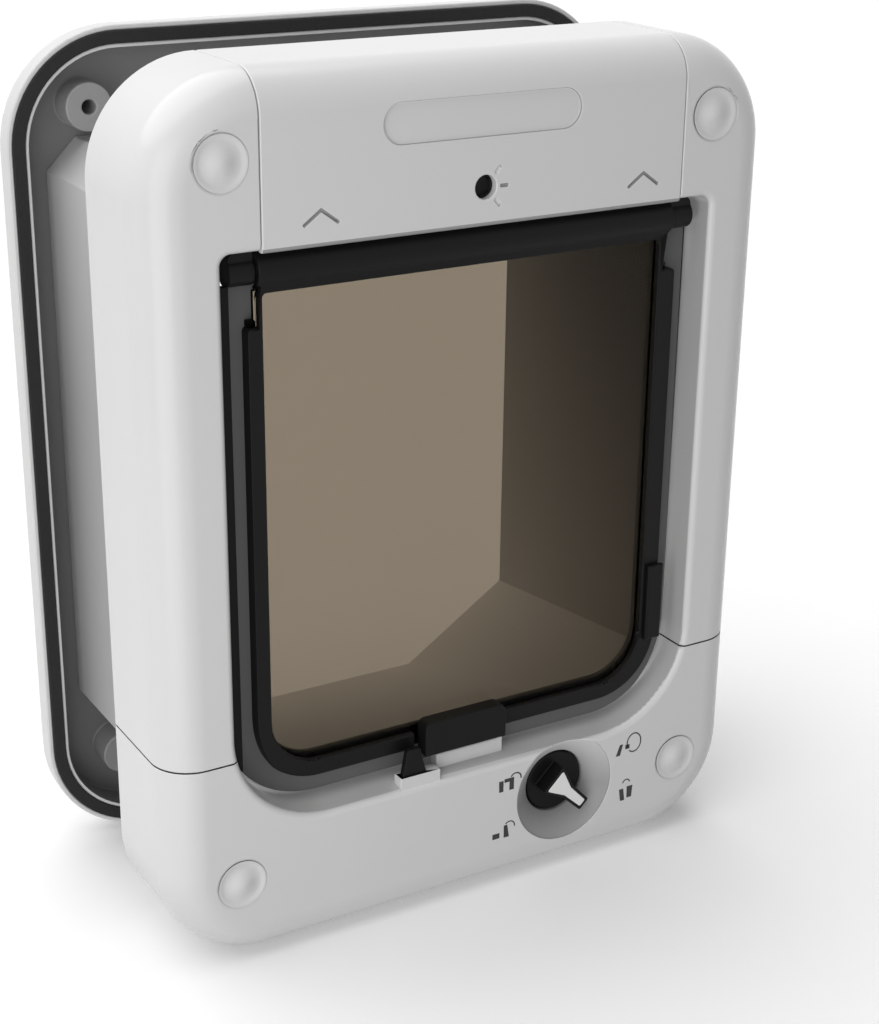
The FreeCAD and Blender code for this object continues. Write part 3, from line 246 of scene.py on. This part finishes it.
# Fine trims of the copies' shapes, as (place in the CAD, place here) pairs in millimetres,
# along x, depth and z.
trims = {
    "battery_cover": [
        {"within": {"z": (205.0, 207.6)}, "z": [(205.7, 204.8), (206.7, 205.3), (207.5, 207.5)]},
        {"within": {"x": (-57.5, -42.0), "z": (211.5, 218.5), "depth": (-1.0, 0.6)},
         "x": [(-55.5, -52.65), (-43.9, -43.25)], "z": [(213.2, 210.9), (217.2, 214.3)]},
        {"within": {"x": (42.0, 57.5), "z": (211.5, 218.5), "depth": (-1.0, 0.6)},
         "x": [(43.9, 46.75), (55.5, 56.15)], "z": [(213.2, 210.9), (217.2, 214.3)]},
    ],
    "flap_frame": [
        {"within": {"z": (0.0, 195.5)}, "x": [(-69.2, -67.3), (-62.0, -62.0), (69.2, 69.2)],
         "depth": [(3.7, 5.4), (9.4, 9.4)],
         "z": [(52.0, 51.1), (58.4, 57.5), (80.0, 80.0), (170.0, 170.0), (186.0, 184.3), (191.7, 191.7)]},
        {"within": {"x": (64.4, 90.0), "z": (190.0, 210.0)}, "x": [(69.2, 64.5)]},
        {"within": {"x": (-90.0, -64.4), "z": (190.0, 210.0)}, "x": [(-69.2, -64.5)]},
    ],
    "side_clip": [{"depth": [(2.2, 3.9), (3.7, 5.4), (9.4, 9.4)]}],
    "flap_seal": [{"x": [(62.6, 62.6), (75.2, 73.5)], "z": [(193.3, 193.3), (194.5, 195.2)]}],
    "hinge_bracket_left": [{"x": [(-75.6, -72.0), (-69.55, -64.85)]}],
    "hinge_bracket_right": [{"x": [(69.55, 64.85), (75.6, 72.0)]}],
    "hinge_pin_left": [{"x": [(-74.7, -70.0), (-63.7, -63.7)]}],
    "hinge_pin_right": [{"x": [(63.7, 63.7), (74.7, 70.0)]}],
    "magnet_holder": [{"x": [(-16.8, -15.0), (-11.2, -11.2), (20.0, 20.0)], "z": [(50.6, 49.4)]}],
    "magnet_keeper": [{"x": [(-11.0, -9.4), (0.0, 0.0), (20.0, 20.0)], "z": [(41.6, 41.6), (48.6, 47.4)]}],
    "keeper_magnet": [{"z": [(43.4, 42.2)]}],
    "latch_bracket": [{"x": [(-25.4, -23.9), (-23.4, -23.4), (-14.6, -14.6), (-11.8, -10.6)],
                       "depth": [(0.3, 0.9), (1.1, 1.1), (5.0, 5.0)], "z": [(40.6, 40.6), (47.0, 45.1)]}],
    "latch_tongue": [
        {"z": [(36.6, 36.6), (45.0, 43.2), (46.0, 44.2), (53.3, 53.3)]},
        {"within": {"z": (52.0, 54.0)}, "x": [(-21.6, -21.4), (-18.4, -17.2)]},
    ],
}

# Painted shadow: the seal is drawn black to the left of this x, in millimetres, for the shadow cast along it
# by the opening's left edge.
sealShadowEdge = {"node": "flap_seal", "x": -69.9}


def trim(bm, rules):
    for rule in rules:
        zone = rule.get("within", {})
        for vertex in bm.verts:
            place = {
                "x": vertex.co.x * 1000,
                "depth": (vertex.co.y - frontFace) * 1000,
                "z": vertex.co.z * 1000,
            }
            if all(low <= place[axis] <= high for axis, (low, high) in zone.items()):
                for axis in place:
                    if axis in rule:
                        place[axis] = remap(place[axis], rule[axis])
                vertex.co = at(place["x"], place["depth"], place["z"])


def smoothCopy(node, bevel):
    # The node's own mesh with its loose triangles joined and its sharp edges softened.
    bm = bmesh.new()
    bm.from_mesh(nodes[node].data)
    bmesh.ops.remove_doubles(bm, verts=bm.verts, dist=joining["distance"])
    bmesh.ops.dissolve_limit(bm, angle_limit=math.radians(joining["flatAngle"]), verts=bm.verts,
                             edges=bm.edges, use_dissolve_boundaries=False)
    trim(bm, trims.get(node, []))
    if node == sealShadowEdge["node"]:
        bmesh.ops.bisect_plane(bm, geom=bm.verts[:] + bm.edges[:] + bm.faces[:], dist=1e-7,
                               plane_co=at(sealShadowEdge["x"], 0, 0), plane_no=(1, 0, 0))
    piece = newPiece(camel(node), bm, bodyOf[node], finishes[slotOf[node]], (node,))
    if bevel:
        softenEdges(piece, bevel)
    return piece


# The width of each copy's softened edges, in metres.
smoothNodes = {
    "main_housing": 0.0003,
    "lower_cover": 0.0003,
    "battery_cover": 0.0003,
    "back_cover": 0.0002,
    "tunnel_liner": 0.0003,
    "tunnel_sleeve": 0.0003,
    "rear_frame": 0.0004,
    "rear_seal": 0.0002,
    "flap_frame": 0.00025,
    "flap_pane": 0.0,
    "flap_seal": 0.0003,
    "magnet_holder": 0.00025,
    "side_clip": 0.0002,
    "magnet_keeper": 0.0003,
    "latch_bracket": 0.00025,
    "latch_tongue": 0.00025,
    "hinge_bracket_left": 0.00025,
    "hinge_bracket_right": 0.00025,
    "hinge_pin_left": 0.0002,
    "hinge_pin_right": 0.0002,
    "keeper_magnet": 0.0002,
    "dial_knob": 0.00025,
    "pointer_inlay": 0.0002,
    "battery_tray": 0.0002,
    "out_bolt": 0.0002,
    "dial_cam": 0.0002,
    "learn_button": 0.0003,
}
copies = {node: smoothCopy(node, width) for node, width in smoothNodes.items()}
copies["tunnel_sleeve"].data.materials[0] = sleeveShadeMaterial
copies["tunnel_liner"].data.materials[0] = linerShadeMaterial
copies["pointer_inlay"].data.materials[0] = pointerMaterial
# Painted shadow: the seal's faces left of that x take the black plastic.
sealMesh = copies[sealShadowEdge["node"]].data
sealMesh.materials.append(finishes["black_plastic"])
for polygon in sealMesh.polygons:
    if polygon.center.x * 1000 < sealShadowEdge["x"]:
        polygon.material_index = 1

# Painted shade in the hollows of the front: the dial's dish and the recess round the flap take darker greys
# than the housing.
dish = {"centre": (0.033, 0.0267), "radius": 0.0172, "depth": 0.0003}
recess = {"halfWidth": 0.0778, "low": 0.0375, "high": 0.2060, "front": 0.0012, "back": 0.0130}


def hollowIndex(polygon, corners):
    depths = [corner.y - frontFace for corner in corners]
    fromDial = max(math.hypot(corner.x - dish["centre"][0], corner.z - dish["centre"][1])
                   for corner in corners)
    if fromDial < dish["radius"] and max(depths) > dish["depth"]:
        return 1
    inRecess = all(abs(corner.x) < recess["halfWidth"] and recess["low"] < corner.z < recess["high"]
                   for corner in corners)
    if inRecess and min(depths) > recess["front"] and max(depths) < recess["back"]:
        return 2
    return 0


for node in ("main_housing", "lower_cover"):
    mesh = copies[node].data
    mesh.materials.append(dishShadeMaterial)
    mesh.materials.append(recessShadeMaterial)
    for polygon in mesh.polygons:
        corners = [mesh.vertices[index].co for index in polygon.vertices]
        polygon.material_index = hollowIndex(polygon, corners)

# The walls of the seams round the battery cover and across the housing lie in their own shade.
coverLow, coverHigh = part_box("battery_cover")
seams = {
    "height": (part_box("lower_cover")[1][2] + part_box("main_housing")[0][2]) / 2,
    "reach": 0.0012,
    "beyond": 0.0008,
    "facing": 0.9,
}
# Where the arrows, the rays and the pill's wall lie on the battery cover, and how deep they go.
coverMarks = {
    "arrowsFromMiddle": 0.040,
    "rays": (0.0045, 0.0100),
    "pillLow": 0.2215,
    "proud": 0.0001,
    "markDepth": 0.0006,
    "pillDepth": 0.0014,
    "wallFacing": 0.8,
}


def besideCover(corner):
    across = min(abs(corner.x - coverLow[0]), abs(corner.x - coverHigh[0]))
    return across < seams["beyond"] and corner.z > coverLow[2] - seams["beyond"]


def inMark(corners):
    # The arrows and the rays beside the button, which are cut into the cover.
    depths = [corner.y - frontFace for corner in corners]
    rayLow, rayHigh = coverMarks["rays"]
    placed = all(corner.z < coverMarks["pillLow"]
                 and (abs(corner.x) > coverMarks["arrowsFromMiddle"] or rayLow < corner.x < rayHigh)
                 for corner in corners)
    deep = coverMarks["proud"] < max(depths) < coverMarks["markDepth"]
    return placed and deep and min(depths) > -coverMarks["proud"]


def inPillWall(polygon, corners):
    # The low wall round the pill shaped plate.
    placed = all(corner.z > coverMarks["pillLow"] and abs(corner.x) < coverMarks["arrowsFromMiddle"]
                 for corner in corners)
    depths = [corner.y - frontFace for corner in corners]
    shallow = min(depths) > -coverMarks["proud"] and max(depths) < coverMarks["pillDepth"]
    return placed and shallow and abs(polygon.normal.y) < coverMarks["wallFacing"]


for node in ("main_housing", "lower_cover", "battery_cover"):
    mesh = copies[node].data
    mesh.materials.append(seamMaterial)
    mesh.materials.append(markShadeMaterial)
    shade = len(mesh.materials) - 2
    for polygon in mesh.polygons:
        corners = [mesh.vertices[index].co for index in polygon.vertices]
        across = abs(polygon.normal.x) > seams["facing"] and all(besideCover(corner) for corner in corners)
        level = abs(polygon.normal.z) > seams["facing"] and all(
            abs(corner.z - seams["height"]) < seams["reach"] for corner in corners)
        if across or level:
            polygon.material_index = shade
        # Painted shade: the faces of the cut arrows and rays, and the pill's low wall, are drawn a darker
        # grey than the cover.
        elif node == "battery_cover" and (inMark(corners) or inPillWall(polygon, corners)):
            polygon.material_index = shade + 1

# Painted shade: the inside of the rear frame, in the shade behind the housing, is drawn dark grey, lighter
# towards the top, and its bosses a mid grey, darker towards the bottom, while its rim stays white.
rearInside = {
    "halfWidth": 0.0932,
    "low": 0.0061,
    "high": 0.2444,
    "corner": 0.0265,
    "bossReach": 0.0085,
    "facing": 0.6,
}
bossPlaces = [(x, z) for x in (-0.075, 0.075) for z in (0.0263, 0.2285)]


def withinRearLip(corner):
    # Inside the rounded outline of the lip next to the seal.
    reach = rearInside["corner"]
    middle = (rearInside["low"] + rearInside["high"]) / 2
    tall = (rearInside["high"] - rearInside["low"]) / 2
    across = max(abs(corner.x) - (rearInside["halfWidth"] - reach), 0.0)
    rise = max(abs(corner.z - middle) - (tall - reach), 0.0)
    return math.hypot(across, rise) < reach


rearMesh = copies["rear_frame"].data
rearMesh.materials.append(plateShadeMaterial)
rearMesh.materials.append(bossShadeMaterial)
for polygon in rearMesh.polygons:
    centre = polygon.center
    corners = [rearMesh.vertices[index].co for index in polygon.vertices]
    if all(withinRearLip(corner) for corner in corners) and polygon.normal.y < rearInside["facing"]:
        nearest = min(math.hypot(centre.x - x, centre.z - z) for x, z in bossPlaces)
        polygon.material_index = 2 if nearest < rearInside["bossReach"] else 1
print("stage smooth copies")


# Turned pieces

def lathe(bm, profile, centre, axis, steps=64):
    # profile holds (radius, height along the axis) pairs; the ends lie on the axis or make a tube.
    axis = Vector(axis)
    side = Vector((0, 0, 1)) if abs(axis.z) < 0.5 else Vector((1, 0, 0))
    verts = [bm.verts.new(centre + side * radius + axis * height) for radius, height in profile]
    edges = [bm.edges.new((verts[i], verts[i + 1])) for i in range(len(verts) - 1)]
    bmesh.ops.spin(bm, geom=verts + edges, cent=centre, axis=axis, angle=2 * math.pi, steps=steps,
                   use_merge=True)
    bmesh.ops.remove_doubles(bm, verts=bm.verts, dist=joining["distance"])


capShape = {
    "proud": 0.00100,
    "moatRadius": 0.0054,
    "moatDepth": 0.00035,
    "lipRadius": 0.00725,
    "lipProud": 0.00003,
    "plugRadius": 0.0064,
    "neck": 0.0002,
    "back": 0.0032,
    "domeSteps": 16,
    "lipSteps": 8,
}
capPlaces = {
    "cap_top_left": (-75.0, 228.5),
    "cap_top_right": (75.0, 228.5),
    "cap_bottom_left": (-75.0, 26.3),
    "cap_bottom_right": (75.0, 26.3),
}


def capProfile(shape):
    # A soft dome, a shallow moat round it and a thin lip over the pocket's gap.
    profile = [(0.0, -shape["proud"])]
    for step in range(1, shape["domeSteps"] + 1):
        share = step / shape["domeSteps"]
        blend = (1 - math.cos(math.pi * share)) / 2
        height = -shape["proud"] + (shape["proud"] + shape["moatDepth"]) * blend
        profile.append((shape["moatRadius"] * share, height))
    for step in range(1, shape["lipSteps"] + 1):
        share = step / shape["lipSteps"]
        blend = (1 - math.cos(math.pi * share)) / 2
        radius = shape["moatRadius"] + (shape["lipRadius"] - shape["moatRadius"]) * share
        profile.append((radius, shape["moatDepth"] - (shape["moatDepth"] + shape["lipProud"]) * blend))
    profile.append((shape["lipRadius"], 0.0))
    profile.append((shape["plugRadius"], shape["neck"]))
    profile.append((shape["plugRadius"], shape["back"]))
    profile.append((0.0, shape["back"]))
    return profile


for node, (x, z) in capPlaces.items():
    bm = bmesh.new()
    lathe(bm, capProfile(capShape), at(x, 0, z), (0, 1, 0), 72)
    newPiece(camel(node), bm, "root", finishes["white_plastic"], (node,), edgeAngle=60)
cell = {
    "radius": 0.00705,
    "shoulder": 0.0007,
    "ring": 0.0052,
    "dent": 0.0002,
    "flat": 0.0040,
    "ease": 0.0003,
    "nubHeight": 0.0012,
    "nubRadius": 0.0027,
    "nubTop": 0.0023,
}
tipMaterial = newMaterial("cellTip", (0.62, 0.6, 0.56), 0.25, extra={"Metallic": 1.0})
for number in range(1, 5):
    node = "battery_%d" % number
    low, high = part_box(node)
    ends = {-1: low[0], 1: high[0]}
    middle = Vector((0, (low[1] + high[1]) / 2, (low[2] + high[2]) / 2))
    reachAt = {}
    for way, end in ends.items():
        reachAt[way] = max(math.hypot(vertex.co.y - middle.y, vertex.co.z - middle.z)
                           for vertex in nodes[node].data.vertices if abs(vertex.co.x - end) < 1e-5)
    nubWay = 1 if reachAt[1] < reachAt[-1] else -1
    foot = Vector((ends[-nubWay], middle.y, middle.z))
    length = abs(high[0] - low[0])
    body = length - cell["nubHeight"]
    profile = [(0.0, cell["dent"]), (cell["ring"], cell["dent"]), (cell["ring"] + 2 * cell["ease"], 0.0),
               (cell["radius"] - cell["shoulder"] / 2, 0.0), (cell["radius"], cell["shoulder"]),
               (cell["radius"], body - cell["shoulder"]), (cell["radius"] - cell["shoulder"], body),
               (cell["flat"], body), (cell["nubRadius"] + cell["ease"], body - cell["ease"]),
               (cell["nubRadius"], body), (cell["nubRadius"], length - cell["ease"]),
               (cell["nubTop"], length), (0.0, length)]
    bm = bmesh.new()
    lathe(bm, profile, foot, (nubWay, 0, 0), 48)
    piece = newPiece("cell%d" % number, bm, "root", finishes["cell_case"], (node,))
    piece.data.materials.append(tipMaterial)
    for polygon in piece.data.polygons:
        along = (polygon.center.x - foot.x) * nubWay
        away = math.hypot(polygon.center.y - middle.y, polygon.center.z - middle.z)
        if away < cell["radius"] - cell["shoulder"] or along > body - cell["shoulder"]:
            polygon.material_index = 1
print("stage turned pieces")


# Printed marks round the dial: plain signs for the four ways the flap can be set.

def printFace(bm, corners, proud=0.00003, sunk=0.00005):
    # A flat face under the surface, drawn out until it stands just proud of it.
    back = bm.faces.new([bm.verts.new(at(x, 0, z) + Vector((0, sunk, 0))) for x, z in corners])
    drawn = bmesh.ops.extrude_face_region(bm, geom=[back])
    front = [item for item in drawn["geom"] if isinstance(item, bmesh.types.BMVert)]
    bmesh.ops.translate(bm, verts=front, vec=(0, -proud - sunk, 0))


def printArc(bm, centre, radii, start, end, width, steps=20):
    for step in range(steps):
        angles = [math.radians(start + (end - start) * (step + k) / steps) for k in (0, 1)]
        corners = []
        for angle, side in ((angles[0], 0.5), (angles[1], 0.5), (angles[1], -0.5), (angles[0], -0.5)):
            corners.append((centre[0] + (radii[0] + side * width) * math.cos(angle),
                            centre[1] + (radii[1] + side * width) * math.sin(angle)))
        printFace(bm, corners)


marks = {
    "faces": [
        [(9.2, 35.5), (10.8, 35.5), (10.8, 31.8), (9.3, 31.8)],
        [(11.1, 35.9), (14.5, 35.9), (14.5, 31.8), (12.9, 31.8), (12.9, 34.7), (11.1, 34.7)],
        [(7.3, 17.9), (9.8, 17.9), (9.8, 16.1), (7.3, 16.1)],
        [(11.3, 20.0), (12.5, 20.0), (13.2, 15.8), (11.3, 15.8)],
        [(53.2, 36.3), (54.4, 36.3), (53.4, 32.6), (51.8, 32.6)],
        [(55.3, 35.8), (56.9, 35.8), (56.9, 34.3), (55.3, 34.3)],
        [(53.7, 20.5), (55.3, 20.5), (55.9, 16.3), (54.3, 16.3)],
        [(56.6, 20.9), (58.8, 20.9), (58.5, 16.9), (56.7, 16.9)],
    ],
    "arcs": [
        [(15.1, 35.2), (1.9, 1.9), 150, -10, 0.45],
        [(13.3, 19.2), (1.8, 1.8), 140, -10, 0.40],
        [(58.5, 36.0), (2.6, 3.2), 200, -130, 0.45],
        [(56.3, 22.2), (1.3, 1.3), 170, 10, 0.40],
    ],
}
bm = bmesh.new()
for corners in marks["faces"]:
    printFace(bm, corners)
for centre, radii, start, end, width in marks["arcs"]:
    printArc(bm, centre, radii, start, end, width)
newPiece("dialMarks", bm, "root", inkMaterial, smooth=False)
print("stage printed marks")


# Camera, lights and floor

view = {
    "location": (-0.2663, -0.4810, 0.3230),
    "yaw": 30.66,
    "pitch": 21.57,
    "roll": 0.683,
    "lens": 68.22,
    "sensor": 36,
    "near": 0.01,
}
yaw, pitch, roll = (math.radians(view[key]) for key in ("yaw", "pitch", "roll"))
forward = Vector((math.sin(yaw) * math.cos(pitch), math.cos(yaw) * math.cos(pitch), -math.sin(pitch)))
right = Vector((math.cos(yaw), -math.sin(yaw), 0))
up = right.cross(forward)
rolledRight = math.cos(roll) * right + math.sin(roll) * up
rolledUp = -math.sin(roll) * right + math.cos(roll) * up
cameraData = bpy.data.cameras.new("camera")
cameraData.lens = view["lens"]
cameraData.sensor_width = view["sensor"]
cameraData.sensor_fit = "AUTO"
cameraData.clip_start = view["near"]
camera = bpy.data.objects.new("camera", cameraData)
camera.matrix_world = Matrix((
    (rolledRight.x, rolledUp.x, -forward.x, view["location"][0]),
    (rolledRight.y, rolledUp.y, -forward.y, view["location"][1]),
    (rolledRight.z, rolledUp.z, -forward.z, view["location"][2]),
    (0, 0, 0, 1),
))
bpy.context.scene.collection.objects.link(camera)
bpy.context.scene.camera = camera

floorShape = {"reach": 6.0, "below": 0.0003, "glow": 0.04}
bm = bmesh.new()
bmesh.ops.create_grid(bm, x_segments=1, y_segments=1, size=floorShape["reach"])
floorMesh = bpy.data.meshes.new("floor")
bm.to_mesh(floorMesh)
bm.free()
floor = bpy.data.objects.new("floor", floorMesh)
bpy.context.scene.collection.objects.link(floor)
floor.location.z = -floorShape["below"]
floorMaterial = newMaterial("paleFloor", (0.99, 0.99, 0.99), 0.7, mottle=0.004)
floorShader = floorMaterial.node_tree.nodes["Principled BSDF"]
floorShader.inputs["Emission Color"].default_value = (1, 1, 1, 1)
floorShader.inputs["Emission Strength"].default_value = floorShape["glow"]
floor.data.materials.append(floorMaterial)
floor.visible_diffuse = False
floor.visible_shadow = False

studio = {
    "world": 0.27,
    "suns": {
        "topLamp": {"from": (-0.27, 0.30, 0.92), "strength": 2.4, "angle": 84.0},
        "bounceLamp": {"from": (-0.36, -0.55, -0.75), "strength": 0.40, "angle": 90.0},
    },
    "panels": {
        "sideLamp": {"place": (-0.42, -0.39, 0.13), "aim": (-0.03, -0.05, 0.11), "size": (0.40, 0.70),
                     "power": 1.38},
    },
}
for name, lamp in studio["suns"].items():
    light = bpy.data.lights.new(name, "SUN")
    light.energy = lamp["strength"]
    light.angle = math.radians(lamp["angle"])
    lampObject = bpy.data.objects.new(name, light)
    place = Vector(lamp["from"])
    lampObject.location = place * 2
    lampObject.rotation_euler = (-place).to_track_quat("-Z", "Y").to_euler()
    bpy.context.scene.collection.objects.link(lampObject)
for name, lamp in studio["panels"].items():
    light = bpy.data.lights.new(name, "AREA")
    light.shape = "RECTANGLE"
    light.size, light.size_y = lamp["size"]
    light.energy = lamp["power"]
    lampObject = bpy.data.objects.new(name, light)
    place = Vector(lamp["place"])
    lampObject.location = place
    lampObject.rotation_euler = (Vector(lamp["aim"]) - place).to_track_quat("-Z", "Y").to_euler()
    lampObject.visible_camera = False
    bpy.context.scene.collection.objects.link(lampObject)

# The world lights the object softly; seen directly, through glass or in gloss, it is white.
world = bpy.data.worlds.new("studio")
bpy.context.scene.world = world
world.use_nodes = True
tree = world.node_tree
tree.nodes.clear()
output = tree.nodes.new("ShaderNodeOutputWorld")
lit = tree.nodes.new("ShaderNodeBackground")
lit.inputs["Color"].default_value = (1, 1, 1, 1)
lit.inputs["Strength"].default_value = studio["world"]
seen = tree.nodes.new("ShaderNodeBackground")
seen.inputs["Color"].default_value = (1, 1, 1, 1)
seen.inputs["Strength"].default_value = 1.0
path = tree.nodes.new("ShaderNodeLightPath")
white = path.outputs["Is Camera Ray"]
for ray in ("Is Transmission Ray", "Is Glossy Ray"):
    either = tree.nodes.new("ShaderNodeMath")
    either.operation = "MAXIMUM"
    tree.links.new(white, either.inputs[0])
    tree.links.new(path.outputs[ray], either.inputs[1])
    white = either.outputs["Value"]
mix = tree.nodes.new("ShaderNodeMixShader")
tree.links.new(white, mix.inputs["Fac"])
tree.links.new(lit.outputs["Background"], mix.inputs[1])
tree.links.new(seen.outputs["Background"], mix.inputs[2])
tree.links.new(mix.outputs["Shader"], output.inputs["Surface"])
bpy.context.scene.view_settings.view_transform = "Standard"
print("stage studio")
